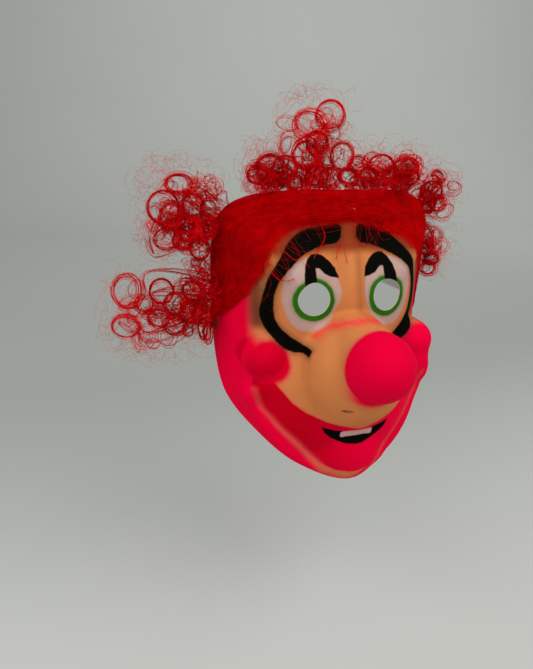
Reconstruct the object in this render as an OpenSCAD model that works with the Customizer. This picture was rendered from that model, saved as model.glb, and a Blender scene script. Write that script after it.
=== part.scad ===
// Clown face mask with curly hair along its forehead and temples, and an elastic strap.
// Origin: midway between the two temple staples. +X is the wearer's left, +Y the back of the head, +Z up.

/* [Mask] */
// Distance between the centres of the two eye holes
eye_spacing = 58; // [54:0.5:62]
// Diameter of each eye hole
eye_hole_d = 23.5; // [18:0.5:25]
// Width of the mask across its side edges
mask_w = 172; // [166:1:182]
// Thickness of the moulded sheet
sheet_t = 1; // [0.8:0.1:1.4]
// Radius of the ball nose
nose_r = 24.4; // [22:0.2:26]
// Radius of each cheek ball
cheek_r = 17; // [15:0.1:18]

/* [Hair] */
// Thickness of the hair combed flat over the mask
mat_t = 2.4; // [1.5:0.1:3]
// Width across the crown of a staple
staple_w = 8; // [6:0.5:10]
// Thickness of the staple wire
staple_wire_d = 0.7; // [0.5:0.1:0.9]

/* [Strap] */
// Width of the flat elastic
strap_w = 6.5; // [4:0.5:8]
// Thickness of the flat elastic
strap_t = 1; // [0.8:0.1:1.2]
// How far the worn strap reaches behind the staples
strap_reach = 153; // [140:1:170]

/* [Hidden] */

PLASTIC = [0.91, 0.05, 0.25];
HAIR = [0.60, 0.01, 0.01];
HAIR_DARK = [0.45, 0.01, 0.01];
STEEL = [0.70, 0.71, 0.73];
ELASTIC = [0.93, 0.92, 0.90];

// ---- The face. Its shapes are placed from the point midway between the eye holes. ----
EYE_MID = [0, -58, 12];
EYE_X = eye_spacing / 2;
WIDTH_SCALE = mask_w / 172;

// Half of the mask's edge, from the middle of the forehead to the middle of the chin
RIM = [
    [0, 17, 73.5], [38, 28, 72.8], [66, 43, 68], [83, 54, 56], [86, 65, 32], [86, 67, -10],
    [86, 65, -48], [83, 42, -80], [66, 15, -103], [38, -2, -127], [0, -17, -138]
];
RIM_STEPS = len(RIM) - 1;

// All of the face can be seen from this point behind it
HUB = [0, 66, -30];
// Angle between the nose and the edge at which the surface's rings stop being round
NOSE_CONE = 43;
// Where the surface starts to be drawn out to the rim, from 0 at the nose to 1 at the rim
RIM_PULL_START = 0.48;

// The head is a rounded box about the hub. The rest are balls: centre, radii, width of the blend
// and how soft the outline is as seen from the hub.
HEAD_R = [mask_w / 2, 58, 190];
HEAD_POWER = 2.1;
BALLS = [
    [[0, 34, -80], [77, 48, 66], 14, 0.06],
    [[0, 30, -88], [60, 51, 58], 16, 0.06],
    [[EYE_X - 9, 50, -8], [52, 50, 75], 7, 0.06],
    [[0, 19, -6], [15, 24, 44], 10, 0.06],
    [[0, 11, -118], [34, 34, 30], 16, 0.2],
    [[60, 21, -60], [15, 15, 15], 9, 0.3],
    [[60.5, 18, -45], [cheek_r, cheek_r, cheek_r], 7, 0.35],
    [[0, -14, -53], [41, 32, 40.5], 9, 0.3],
    [[0, -45, -37], [nose_r, nose_r, nose_r], 4, 0.06]
];

function smoothstep(lo, hi, x) = let (t = min(1, max(0, (x - lo) / (hi - lo)))) t * t * (3 - 2 * t);
function smooth_max(a, b, k) = let (h = min(1, max(0, 0.5 + 0.5 * (a - b) / k)))
    b * (1 - h) + a * h + k * h * (1 - h);
function over(a, b) = [a.x / b.x, a.y / b.y, a.z / b.z];
function unit(v) = v / norm(v);
function mirror_x(p) = [-p.x, p.y, p.z];

// Distance from the hub along the direction d to a ball's far side
function ball_distance(d, ball) = let (
        o = over(HUB - ball[0], ball[1]),
        v = over(d, ball[1]),
        a = v * v,
        b = v * o,
        inside = b * b / a - o * o + 1,
        softness = ball[3],
        reach = inside / sqrt(abs(inside) + softness) * sqrt(1 + softness)
    ) -b / a + reach / sqrt(a);

function head_distance(d) = let (q = over(d, HEAD_R))
    pow(pow(abs(q.x), HEAD_POWER) + pow(abs(q.y), HEAD_POWER) + pow(abs(q.z), HEAD_POWER), -1 / HEAD_POWER);

function add_balls(d, distance, i) = i == len(BALLS) ? distance
    : add_balls(d, smooth_max(distance, ball_distance(d, BALLS[i]), BALLS[i][2]), i + 1);

// The smile fold: a ridge along an oval in the front view, with a shallow groove inside it
FOLD_CENTRE_Z = -38;
FOLD_RADII = [77, 94];
FOLD_MEAN_R = 80;
FOLD_RISE = 2.6;
FOLD_GROOVE = 2.2;
function bump(u) = exp(-u * u);
function fold(p) = let (
        outside = FOLD_MEAN_R * (norm([p.x / FOLD_RADII[0], (p.z - FOLD_CENTRE_Z) / FOLD_RADII[1]]) - 1),
        below_eye = smoothstep(30, 55, -p.z),
        off_chin = smoothstep(14, 30, abs(p.x))
    ) below_eye * off_chin * (FOLD_RISE * bump(outside / 3.5) - FOLD_GROOVE * bump((outside + 9) / 6.5));

function face_distance(d) = let (
        right = [abs(d.x), d.y, d.z],
        distance = add_balls(right, head_distance(right), 0)
    ) distance + fold(HUB + d * distance);

// A point on the edge. turn runs from -1 to 1, with 0 at the forehead and both ends at the chin.
function rim_corner(i) = i < 0 ? mirror_x(RIM[1]) : i > RIM_STEPS ? mirror_x(RIM[RIM_STEPS - 1]) : RIM[i];
function rim_point(turn) = let (
        along = abs(turn) * RIM_STEPS,
        i = min(RIM_STEPS - 1, floor(along)),
        f = along - i,
        a = rim_corner(i - 1),
        b = rim_corner(i),
        c = rim_corner(i + 1),
        e = rim_corner(i + 2),
        p = 0.5 * (2 * b + (c - a) * f + (2 * a - 5 * b + 4 * c - e) * f * f
            + (3 * b - a - 3 * c + e) * f * f * f)
    ) [(turn < 0 ? -1 : 1) * WIDTH_SCALE * p.x, p.y, p.z];

// A point on the outside of the mask. out runs from 0 at the nose to 1 at the edge.
function face_point(out, turn) = let (
        to_rim = rim_point(turn) - HUB,
        u = unit(to_rim),
        rim_angle = acos(-u.y),
        across = unit([u.x, 0, u.z]),
        angle = NOSE_CONE * out + (rim_angle - NOSE_CONE) * pow(out, 3),
        d = sin(angle) * across - [0, cos(angle), 0],
        pull = smoothstep(RIM_PULL_START, 1, out)
    ) HUB + d * (face_distance(d) + (norm(to_rim) - face_distance(u)) * pull);

// The outward normal there
NORMAL_STEP = 0.004;
function wrap(turn) = turn > 1 ? turn - 2 : turn < -1 ? turn + 2 : turn;
function face_normal(out, turn) = let (
        h = NORMAL_STEP,
        along = face_point(min(1, out + h), turn) - face_point(max(h / 4, out - h), turn),
        around = face_point(out, wrap(turn + h)) - face_point(out, wrap(turn - h)),
        n = unit(cross(around, along))
    ) n * (face_point(out, turn) - HUB) < 0 ? -n : n;

function lerp(a, b, f) = a + (b - a) * f;

// ---- The moulded shell ----
RINGS = 30;
SPOKES = 72;
POLE_OUT = 0.03;

module sheet_solid() {
    spots = [
        for (i = [0 : RINGS], j = [0 : SPOKES - 1])
            let (out = lerp(POLE_OUT, 1, i / RINGS), turn = -1 + 2 * j / SPOKES)
                [face_point(out, turn), face_normal(out, turn)]
    ];
    outside = [for (s = spots) s[0]];
    inside = [for (s = spots) s[0] - s[1] * sheet_t];
    tip = face_point(0, 0);
    count = len(spots);
    points = concat(outside, inside, [tip, tip + [0, sheet_t, 0]]);
    // index of the point on ring i and spoke j of one side, 0 outside and 1 inside
    function at(side, i, j) = side * count + i * SPOKES + j % SPOKES;
    walls = [
        for (side = [0, 1], i = [0 : RINGS - 1], j = [0 : SPOKES - 1])
            let (a = at(side, i, j), b = at(side, i + 1, j), c = at(side, i + 1, j + 1), e = at(side, i, j + 1))
                each side == 0 ? [[a, b, c], [a, c, e]] : [[c, b, a], [e, c, a]]
    ];
    edge = [
        for (j = [0 : SPOKES - 1])
            let (a = at(0, RINGS, j), b = at(0, RINGS, j + 1), c = at(1, RINGS, j + 1), e = at(1, RINGS, j))
                each [[a, e, c], [a, c, b]]
    ];
    tips = [
        for (j = [0 : SPOKES - 1])
            each [[at(0, 0, j), at(0, 0, j + 1), 2 * count], [at(1, 0, j + 1), at(1, 0, j), 2 * count + 1]]
    ];
    polyhedron(points = points, faces = concat(walls, edge, tips), convexity = 12);
}

// Breathing slit under the muzzle
SLIT = [-18, -36, -69.5];
SLIT_SIZE = [6.5, 24, 1.6];
EYE_HOLE_SIDES = 36;

module round_prism(r, sides) {
    linear_extrude(60, center = true)
        polygon([for (i = [0 : sides - 1]) r * [cos(360 * i / sides), sin(360 * i / sides)]]);
}

module mask_shell() {
    color(PLASTIC) translate(EYE_MID) difference() {
        sheet_solid();
        for (side = [-1, 1])
            translate([side * EYE_X, 0, 0]) rotate([90, 0, 0]) round_prism(eye_hole_d / 2, EYE_HOLE_SIDES);
        translate(SLIT) rotate([-35, -12, 0]) cube(SLIT_SIZE, center = true);
    }
}

// ---- A layer that follows the outside of the mask between two heights above it ----
// inner and outer give its ends in out, each as [at the first turn, at the last turn]
module face_layer(inner, outer, turns, heights, rows, columns) {
    spots = [
        for (i = [0 : rows], j = [0 : columns])
            let (
                across = j / columns,
                out = lerp(lerp(inner[0], inner[1], across), lerp(outer[0], outer[1], across), i / rows),
                turn = lerp(turns[0], turns[1], across)
            ) [face_point(out, turn), face_normal(out, turn)]
    ];
    count = len(spots);
    points = concat([for (s = spots) s[0] + s[1] * heights[1]], [for (s = spots) s[0] + s[1] * heights[0]]);
    function at(side, i, j) = side * count + i * (columns + 1) + j;
    walls = [
        for (side = [0, 1], i = [0 : rows - 1], j = [0 : columns - 1])
            let (a = at(side, i, j), b = at(side, i + 1, j), c = at(side, i + 1, j + 1), e = at(side, i, j + 1))
                each side == 0 ? [[a, b, c], [a, c, e]] : [[c, b, a], [e, c, a]]
    ];
    ends = [
        for (i = [0 : rows - 1], j = [0, columns])
            let (a = at(0, i, j), b = at(0, i + 1, j), c = at(1, i + 1, j), e = at(1, i, j))
                each j == 0 ? [[a, e, c], [a, c, b]] : [[a, b, c], [a, c, e]]
    ];
    rims = [
        for (i = [0, rows], j = [0 : columns - 1])
            let (a = at(0, i, j), b = at(0, i, j + 1), c = at(1, i, j + 1), e = at(1, i, j))
                each i == 0 ? [[a, b, c], [a, c, e]] : [[a, e, c], [a, c, b]]
    ];
    translate(EYE_MID) polyhedron(points = points, faces = concat(walls, ends, rims), convexity = 8);
}

// ---- Hair combed flat on the mask, and the sewn band that it hangs from ----
MAT_GAP = 0.4;
BAND_T = 1.4;
BAND_OUT = [0.945, 0.985];
HAIR_END_TURN = 0.56;
MAT_SPLIT_TURN = 0.22;
MAT_OUTER = 0.935;

module weft_band() {
    color(HAIR_DARK) face_layer(
        [BAND_OUT[0], BAND_OUT[0]], [BAND_OUT[1], BAND_OUT[1]], [-HAIR_END_TURN, HAIR_END_TURN],
        [0.1, BAND_T], 2, 72
    );
}

// Two rows of stitching on the band
module weft_thread() {
    color(HAIR) for (row = [0.957, 0.974])
        face_layer(
            [row - 0.0015, row - 0.0015], [row + 0.0015, row + 0.0015],
            [-HAIR_END_TURN + 0.02, HAIR_END_TURN - 0.02], [BAND_T + 0.05, BAND_T + 0.5], 1, 60
        );
}

module forehead_hair() {
    color(HAIR) face_layer(
        [0.86, 0.895], [MAT_OUTER, MAT_OUTER], [-MAT_SPLIT_TURN, -0.002], [MAT_GAP, MAT_GAP + mat_t], 4, 14
    );
    color(HAIR) face_layer(
        [0.895, 0.86], [MAT_OUTER, MAT_OUTER], [0.002, MAT_SPLIT_TURN], [MAT_GAP, MAT_GAP + mat_t], 4, 14
    );
}

module temple_hair(side) {
    color(HAIR) face_layer(
        side < 0 ? [0.8, 0.85] : [0.85, 0.8], [MAT_OUTER, MAT_OUTER],
        side < 0 ? [-HAIR_END_TURN, -MAT_SPLIT_TURN - 0.01] : [MAT_SPLIT_TURN + 0.01, HAIR_END_TURN],
        [MAT_GAP, MAT_GAP + mat_t], 5, 18
    );
}

// ---- Staples ----
STAPLE_LEG = 5.9;

// A wire staple: its crown lies along X and its two legs point along -Z, clinched inwards
module staple() {
    r = staple_wire_d / 2;
    half = staple_w / 2;
    clinch = half - 0.9;
    for (side = [-1, 1]) {
        translate([side * half, 0, -STAPLE_LEG]) cylinder(h = STAPLE_LEG, r = r, $fn = 24);
        translate([side * half, 0, 0]) sphere(r, $fn = 24);
        translate([side * half, 0, -STAPLE_LEG]) sphere(r, $fn = 24);
        translate([side * half, 0, -STAPLE_LEG]) rotate([0, -90 * side, 0])
            cylinder(h = clinch, r = r, $fn = 24);
    }
    translate([-half, 0, 0]) rotate([0, 90, 0]) cylinder(h = staple_w, r = r, $fn = 24);
}

// The temple staples lie level on the side walls, at the origin's height
STAPLE_X = WIDTH_SCALE * 87.6;

module temple_staple(side) {
    color(STEEL) translate([side * STAPLE_X, 0, 0]) rotate([0, side * 90, 0]) rotate([0, 0, 90]) staple();
}

// The crown staple pins the middle of the band to the forehead
module crown_staple() {
    color(STEEL) translate(EYE_MID + face_point(0.965, 0) + face_normal(0.965, 0) * (BAND_T + 1.1))
        rotate([65, 0, 0]) staple();
}

// ---- Curls: each tuft is one closed lump, given as balls of [centre, radius] ----
CURL_SIDES = 20;

module tuft(balls) {
    color(HAIR) translate(EYE_MID) hull()
        for (ball = balls) translate(ball[0]) sphere(ball[1], $fn = CURL_SIDES);
}

module crown_right_curls() tuft([[[-52, 36, 77], 3.5], [[-58, 40, 87], 8], [[-52, 38, 91.5], 6.5]]);
module crown_top_curls() tuft(
    [[[-12, 21, 78.5], 3.5], [[-30, 25.5, 78.5], 3.5], [[-10, 29, 89], 8], [[-28, 32, 91], 8],
        [[-33, 32, 106], 13], [[-22, 32, 122], 11]]
);
module crown_left_curls() tuft(
    [[[16, 22, 78.5], 3.5], [[50, 36, 77], 3.5], [[14, 31, 89], 9], [[34, 34, 91], 10], [[56, 40, 88], 7]]
);
module right_upper_curls() tuft(
    [[[-93.5, 58, 42], 4], [[-112, 54, 44], 17], [[-123, 52, 48], 16], [[-112, 52, 66], 14], [[-111, 54, 80], 6]]
);
module right_lower_curls() tuft(
    [[[-93.5, 58, 0], 4], [[-112, 54, -4], 16], [[-128, 52, -9], 21], [[-149, 52, -6], 16], [[-120, 54, -30], 12]]
);
module right_side_lock() tuft([[[-95, 57, -22], 4], [[-98, 55, -39], 4.5]]);
module left_upper_curls() tuft([[[84, 50, 68], 4], [[94, 50, 66], 12], [[92, 48, 76], 11]]);
module left_lower_curls() tuft([[[93.5, 58, 30], 4], [[103, 56, 30], 11], [[102, 55, 14], 9]]);

// ---- The elastic: a flat band round the back of the head, stapled inside each temple ----
// Its outer face clears the shell's inner wall, which leans in towards the face
STRAP_INSET = 2.1;
STRAP_X = WIDTH_SCALE * 86 - sheet_t - STRAP_INSET - strap_t / 2;
STRAP_END_BACK = 5;
STRAP_PIVOT_Y = STRAP_END_BACK + 0.4 + strap_w / 2;
STRAP_ARC_STEPS = 40;

module strap_end(side) {
    color(ELASTIC) translate([side * STRAP_X - strap_t / 2, -STRAP_END_BACK, -strap_w / 2])
        cube([strap_t, 2 * STRAP_END_BACK, strap_w]);
}

// Centre line of the loop, from one side round the back to the other
function loop_points(r) = let (back = strap_reach - STRAP_X) concat(
        [[r, STRAP_PIVOT_Y]],
        [for (i = [0 : STRAP_ARC_STEPS]) let (a = 180 * i / STRAP_ARC_STEPS) [r * cos(a), back + r * sin(a)]],
        [[-r, STRAP_PIVOT_Y]]
    );

module strap_loop() {
    outline = loop_points(STRAP_X + strap_t / 2);
    hole = loop_points(STRAP_X - strap_t / 2);
    color(ELASTIC) {
        linear_extrude(strap_w, center = true)
            polygon(concat(outline, [for (i = [len(hole) - 1 : -1 : 0]) hole[i]]));
        for (side = [-1, 1])
            translate([side * STRAP_X, STRAP_PIVOT_Y, 0]) rotate([0, 90, 0])
                cylinder(h = strap_t, d = strap_w, center = true, $fn = 48);
    }
}

mask_shell();
weft_band();
weft_thread();
forehead_hair();
temple_hair(-1);  // right_temple_hair
temple_hair(1);  // left_temple_hair
crown_staple();
temple_staple(-1);  // right_staple
temple_staple(1);  // left_staple
crown_right_curls();
crown_top_curls();
crown_left_curls();
right_upper_curls();
right_lower_curls();
right_side_lock();
left_upper_curls();
left_lower_curls();
strap_end(-1);  // right_strap_end
strap_end(1);  // left_strap_end
strap_loop();
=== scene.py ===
"""Clown mask with curly hair: the looks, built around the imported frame.

The scene is in metres. The face's own formula is in millimetres, from the point midway between the
eye holes, with +X to the wearer's left, +Y to the back of the head and +Z up. turn runs round the
edge from -1 to 1, with 0 at the forehead, and out runs from 0 at the nose to 1 at the edge.
"""
import math

import bpy
import numpy as np
from mathutils import Matrix, Vector


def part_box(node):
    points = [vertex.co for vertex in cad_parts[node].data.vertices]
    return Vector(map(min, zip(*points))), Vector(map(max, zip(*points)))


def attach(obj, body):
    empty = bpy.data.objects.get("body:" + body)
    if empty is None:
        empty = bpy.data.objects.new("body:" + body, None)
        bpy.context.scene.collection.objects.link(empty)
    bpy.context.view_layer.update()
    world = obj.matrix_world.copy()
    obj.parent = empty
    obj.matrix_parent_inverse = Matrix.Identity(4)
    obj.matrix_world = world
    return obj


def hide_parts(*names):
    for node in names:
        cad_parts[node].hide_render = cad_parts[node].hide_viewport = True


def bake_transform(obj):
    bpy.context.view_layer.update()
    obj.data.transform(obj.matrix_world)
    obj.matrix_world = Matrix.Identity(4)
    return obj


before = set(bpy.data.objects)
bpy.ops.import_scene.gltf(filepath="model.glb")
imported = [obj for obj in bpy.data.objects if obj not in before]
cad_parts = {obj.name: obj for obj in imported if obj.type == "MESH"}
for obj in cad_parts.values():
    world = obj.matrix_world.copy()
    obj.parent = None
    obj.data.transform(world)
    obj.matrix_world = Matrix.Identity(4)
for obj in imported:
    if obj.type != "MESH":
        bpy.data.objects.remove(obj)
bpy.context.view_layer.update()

MM = 0.001
EYE_MID = np.array([0.0, -58.0, 12.0])
EYE_X = 29.0
EYE_HOLE_R = 11.75

# ---- Camera ----
CAMERA_PLACE = (-0.18577, -0.40369, 0.11047)
CAMERA_LENS_MM = 37.7
CAMERA_YAW = 0.336
CAMERA_PITCH = 0.3195
CAMERA_LEAN = 0.0037
CAMERA_ROLL = 0.0202


def make_camera():
    data = bpy.data.cameras.new("camera")
    data.sensor_fit = "HORIZONTAL"
    data.sensor_width = 36.0
    data.lens = CAMERA_LENS_MM
    camera = bpy.data.objects.new("camera", data)
    camera.matrix_world = (
        Matrix.Translation(CAMERA_PLACE)
        @ Matrix.Rotation(-CAMERA_LEAN, 4, "Y")
        @ Matrix.Rotation(-CAMERA_YAW, 4, "Z")
        @ Matrix.Rotation(math.pi / 2 - CAMERA_PITCH, 4, "X")
        @ Matrix.Rotation(CAMERA_ROLL, 4, "Z")
    )
    bpy.context.scene.collection.objects.link(camera)
    bpy.context.scene.camera = camera


# ---- The face ----
RIM = np.array([
    (0, 17, 73.5), (38, 28, 72.8), (66, 43, 68), (83, 54, 56), (86, 65, 32), (86, 67, -10),
    (86, 65, -48), (83, 42, -80), (66, 15, -103), (38, -2, -127), (0, -17, -138),
], float)
HUB = np.array([0.0, 66.0, -30.0])
NOSE_CONE = 0.75
RIM_PULL_START = 0.48
HEAD_R = np.array([86.0, 58.0, 190.0])
HEAD_POWER = 2.1
NOSE = np.array([0.0, -45.0, -37.0])
NOSE_R = 24.4
CHEEK = np.array([60.5, 18.0, -45.0])
CHEEK_R = 17.0
# Centre, radii, width of the blend and softness of the outline
BALLS = [
    ((0, 34, -80), (77, 48, 66), 14, 0.06),
    ((0, 30, -88), (60, 51, 58), 16, 0.06),
    ((20, 50, -8), (52, 50, 75), 7, 0.06),
    ((0, 19, -6), (15, 24, 44), 10, 0.06),
    ((0, 11, -118), (34, 34, 30), 16, 0.2),
    ((60, 21, -60), (15, 15, 18.5), 9, 0.3),
    (CHEEK, (CHEEK_R,) * 3, 7, 0.35),
    ((0, -14, -53), (40, 32, 40), 15, 0.4),
    (NOSE, (NOSE_R,) * 3, 4, 0.06),
]
# How far the cheek and the bulge under it are moved on the wearer's left, by their numbers in BALLS
LEFT_CHEEK_SHIFT = (2.0, -1.0, 4.0)
LEFT_SHIFTS = {5: (3.2, -3.0, 4.0), 6: LEFT_CHEEK_SHIFT}
# The ridge beside the smile follows an oval in the front view
SMILE_OVAL = (77, 94)
SMILE_OVAL_UP = -38
RIDGE_HEIGHT = 2.6
GROOVE_DEPTH = 2.2


def smoothstep(lo, hi, x):
    t = np.clip((x - lo) / (hi - lo), 0, 1)
    return t * t * (3 - 2 * t)


def smooth_max(a, b, k):
    h = np.clip(0.5 + 0.5 * (a - b) / k, 0, 1)
    return b * (1 - h) + a * h + k * h * (1 - h)


def unit(v):
    return v / (np.linalg.norm(v, axis=-1, keepdims=True) + 1e-12)


def bump(u):
    return np.exp(-u * u)


def ball_distance(d, centre, radii, softness):
    """From the hub along d to a ball's far side, with a soft outline."""
    o = (HUB - np.array(centre, float)) / np.array(radii, float)
    v = d / np.array(radii, float)
    a = (v * v).sum(-1)
    b = (v * o).sum(-1)
    inside = b * b / a - (o * o).sum(-1) + 1
    reach = inside / np.sqrt(np.abs(inside) + softness) * math.sqrt(1 + softness)
    return -b / a + reach / np.sqrt(a)


def smile_fold(p):
    """A ridge along an oval in the front view, with a shallow groove inside it."""
    share = np.hypot(p[..., 0] / SMILE_OVAL[0], (p[..., 2] - SMILE_OVAL_UP) / SMILE_OVAL[1])
    outside = 80 * (share - 1)
    on = smoothstep(45, 75, -p[..., 2]) * smoothstep(14, 30, np.abs(p[..., 0]))
    return on * (RIDGE_HEIGHT * bump(outside / 3.5) - GROOVE_DEPTH * bump((outside + 9) / 6.5))


def face_distance(d):
    right = d.copy()
    right[..., 0] = np.abs(d[..., 0])
    distance = ((np.abs(d) / HEAD_R) ** HEAD_POWER).sum(-1) ** (-1 / HEAD_POWER)
    on_left = d[..., :1] > 0
    for i, (centre, radii, blend, softness) in enumerate(BALLS):
        centre = np.array(centre) + np.array(LEFT_SHIFTS.get(i, (0, 0, 0))) * on_left
        distance = smooth_max(distance, ball_distance(right, centre, radii, softness), blend)
    return distance + smile_fold(HUB + d * distance[..., None])


def rim_point(turn):
    """A point on the rim: a smooth curve through its corners, the same on both sides."""
    steps = len(RIM) - 1
    corners = np.vstack([RIM[1] * (-1, 1, 1), RIM, RIM[-2] * (-1, 1, 1)])
    along = np.clip(np.abs(turn) * steps, 0, steps - 1e-9)
    i = np.floor(along).astype(int)
    f = (along - i)[..., None]
    a, b, c, e = (corners[i + k] for k in range(4))
    p = 0.5 * (2 * b + (c - a) * f + (2 * a - 5 * b + 4 * c - e) * f**2 + (3 * b - a - 3 * c + e) * f**3)
    p[..., 0] *= np.where(turn < 0, -1.0, 1.0)
    return p


def face_point(out, turn):
    """A point on the outside of the mask, in the face's millimetres."""
    out, turn = np.broadcast_arrays(np.asarray(out, float), np.asarray(turn, float))
    turn = (turn + 1) % 2 - 1
    to_rim = rim_point(turn) - HUB
    length = np.linalg.norm(to_rim, axis=-1)
    u = to_rim / length[..., None]
    rim_angle = np.arccos(-u[..., 1])
    across = unit(u * (1, 0, 1))
    angle = NOSE_CONE * out + (rim_angle - NOSE_CONE) * out**3
    d = np.sin(angle)[..., None] * across + np.cos(angle)[..., None] * np.array([0, -1.0, 0])
    pull = smoothstep(RIM_PULL_START, 1, out)
    return HUB + d * (face_distance(d) + (length - face_distance(u)) * pull)[..., None]


def face_normal(out, turn, step=0.006):
    out, turn = np.broadcast_arrays(np.asarray(out, float), np.asarray(turn, float))
    along = face_point(np.minimum(1, out + step), turn) - face_point(np.maximum(0.01, out - step), turn)
    around = face_point(out, turn + step) - face_point(out, turn - step)
    n = unit(np.cross(around, along))
    outward = ((face_point(out, turn) - HUB) * n).sum(-1, keepdims=True)
    return np.where(outward < 0, -n, n)


def above_face(out, turn, height):
    return face_point(out, turn) + face_normal(out, turn) * np.asarray(height, float)[..., None]


def to_metres(p):
    return (p + EYE_MID) * MM


# ---- Meshes ----
def new_mesh(name, points, faces):
    """A smooth mesh in metres. faces has one row of corner indices for each face."""
    faces = np.asarray(faces, np.int32)
    sides = faces.shape[1]
    mesh = bpy.data.meshes.new(name)
    mesh.vertices.add(len(points))
    mesh.vertices.foreach_set("co", np.asarray(points, np.float32).ravel())
    mesh.loops.add(faces.size)
    mesh.loops.foreach_set("vertex_index", faces.ravel())
    mesh.polygons.add(len(faces))
    mesh.polygons.foreach_set("loop_start", np.arange(0, faces.size, sides, dtype=np.int32))
    mesh.polygons.foreach_set("use_smooth", np.ones(len(faces), bool))
    mesh.update(calc_edges=True)
    mesh.validate()
    return mesh


def mixed_mesh(name, points, faces):
    """A smooth mesh from the face's millimetres, with faces of any number of sides."""
    mesh = bpy.data.meshes.new(name)
    mesh.from_pydata(to_metres(points).tolist(), [], faces)
    mesh.polygons.foreach_set("use_smooth", np.ones(len(faces), bool))
    mesh.update()
    return mesh


def tube_faces(rows, sides):
    """Quads round a tube of rows rings, and a cap at each end."""
    i, j = np.meshgrid(np.arange(rows - 1), np.arange(sides), indexing="ij")
    k = (j + 1) % sides
    walls = np.stack([i * sides + j, i * sides + k, (i + 1) * sides + k, (i + 1) * sides + j], -1)
    last = (rows - 1) * sides
    return walls.reshape(-1, 4).tolist() + [list(range(sides))[::-1], list(range(last, last + sides))]


def new_object(name, mesh, *materials):
    thing = bpy.data.objects.new(name, mesh)
    bpy.context.scene.collection.objects.link(thing)
    for material in materials:
        mesh.materials.append(material)
    return thing


def store(mesh, name, values):
    layer = mesh.attributes.new(name, "FLOAT", "POINT")
    layer.data.foreach_set("value", np.asarray(values, np.float32).ravel())


def mesh_points(mesh):
    points = np.zeros(len(mesh.vertices) * 3)
    mesh.vertices.foreach_get("co", points)
    return points.reshape(-1, 3)


# ---- Materials ----
def new_material(name):
    material = bpy.data.materials.new(name)
    material.use_nodes = True
    tree = material.node_tree
    return material, tree, tree.nodes["Principled BSDF"]


def add(tree, kind, inputs=None, **settings):
    """A node with its settings, and its inputs set from values or linked from sockets."""
    made = tree.nodes.new(kind)
    for key, value in settings.items():
        setattr(made, key, value)
    for key, value in (inputs or {}).items():
        if isinstance(value, bpy.types.NodeSocket):
            tree.links.new(value, made.inputs[key])
        else:
            made.inputs[key].default_value = value
    return made


def attribute(tree, name):
    return add(tree, "ShaderNodeAttribute", attribute_name=name).outputs["Fac"]


def object_place(tree):
    return add(tree, "ShaderNodeTexCoord").outputs["Object"]


def noise(tree, scale, detail=3.0):
    inputs = {"Vector": object_place(tree), "Scale": scale, "Detail": detail}
    return add(tree, "ShaderNodeTexNoise", inputs).outputs["Fac"]


def math_node(tree, operation, a, b):
    return add(tree, "ShaderNodeMath", {0: a, 1: b}, operation=operation).outputs[0]


def mix(tree, factor, a, b):
    """Colour a turning into colour b as factor goes from 0 to 1."""
    made = add(tree, "ShaderNodeMix", data_type="RGBA")
    for socket, value in ((made.inputs[0], factor), (made.inputs[6], a), (made.inputs[7], b)):
        if isinstance(value, bpy.types.NodeSocket):
            tree.links.new(value, socket)
        else:
            socket.default_value = value
    return made.outputs[2]


def ramp(tree, value, lo, hi, start=0.0, end=1.0):
    """start below lo and end above hi, with a smooth step between."""
    inputs = {"Value": value, "From Min": lo, "From Max": hi, "To Min": start, "To Max": end}
    return add(tree, "ShaderNodeMapRange", inputs, interpolation_type="SMOOTHSTEP").outputs[0]


def set_bump(tree, shader, height, strength, distance):
    inputs = {"Height": height, "Strength": strength, "Distance": distance}
    tree.links.new(add(tree, "ShaderNodeBump", inputs).outputs[0], shader.inputs["Normal"])


def link(tree, value, socket):
    tree.links.new(value, socket)


def set_roughness(tree, shader, scale, lo, hi):
    """Roughness that varies from lo to hi with noise of this scale."""
    link(tree, ramp(tree, noise(tree, scale), 0.3, 0.7, lo, hi), shader.inputs["Roughness"])


PEACH = (0.74, 0.265, 0.088, 1)
PEACH_DEEP = (0.60, 0.185, 0.055, 1)
# Painted shade in the crease beside the nose bridge, on one side only
CREASE_SHADE = (0.30, 0.075, 0.022, 1)
# Brown overspray, with painted shade from the hair and the brow ridge above
BROW_OVERSPRAY_AND_SHADE = (0.30, 0.038, 0.011, 1)
PINK = (0.97, 0.0, 0.046, 1)
NOSE_PINK = (0.84, 0.0, 0.038, 1)
PINK_DEEP = (0.86, 0.0, 0.034, 1)
# Painted shade: the smile and cheek pinks as they look on the wearer's right, away from the light
SMILE_SHADE = (0.64, 0.0, 0.014, 1)
SMILE_SHADE_DEEP = (0.54, 0.0, 0.010, 1)
CHEEK_SHADE = (0.70, 0.0, 0.022, 1)
# Painted shade in and around the breathing slit, so that it reads dark
SLIT_SHADE = (0.16, 0.02, 0.008, 1)
SALMON = (0.78, 0.08, 0.085, 1)
# The eye white lit and in painted shade; their pink tint is painted reflection of the red round the eyes
WHITE = (0.62, 0.42, 0.38, 1)
WHITE_SHADE = (0.46, 0.26, 0.225, 1)
GREEN = (0.016, 0.105, 0.003, 1)
GREEN_LIGHT = (0.04, 0.19, 0.008, 1)
BLACK = (0.003, 0.003, 0.002, 1)
SMEAR = (0.07, 0.022, 0.014, 1)
# Red tint past the combed hair's edge: fine hair too thin to model, with painted red reflection from the hair
HAIR_VEIL_AND_REFLECTION = (0.42, 0.0, 0.001, 1)
TOOTH = (0.62, 0.36, 0.35, 1)
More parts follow.
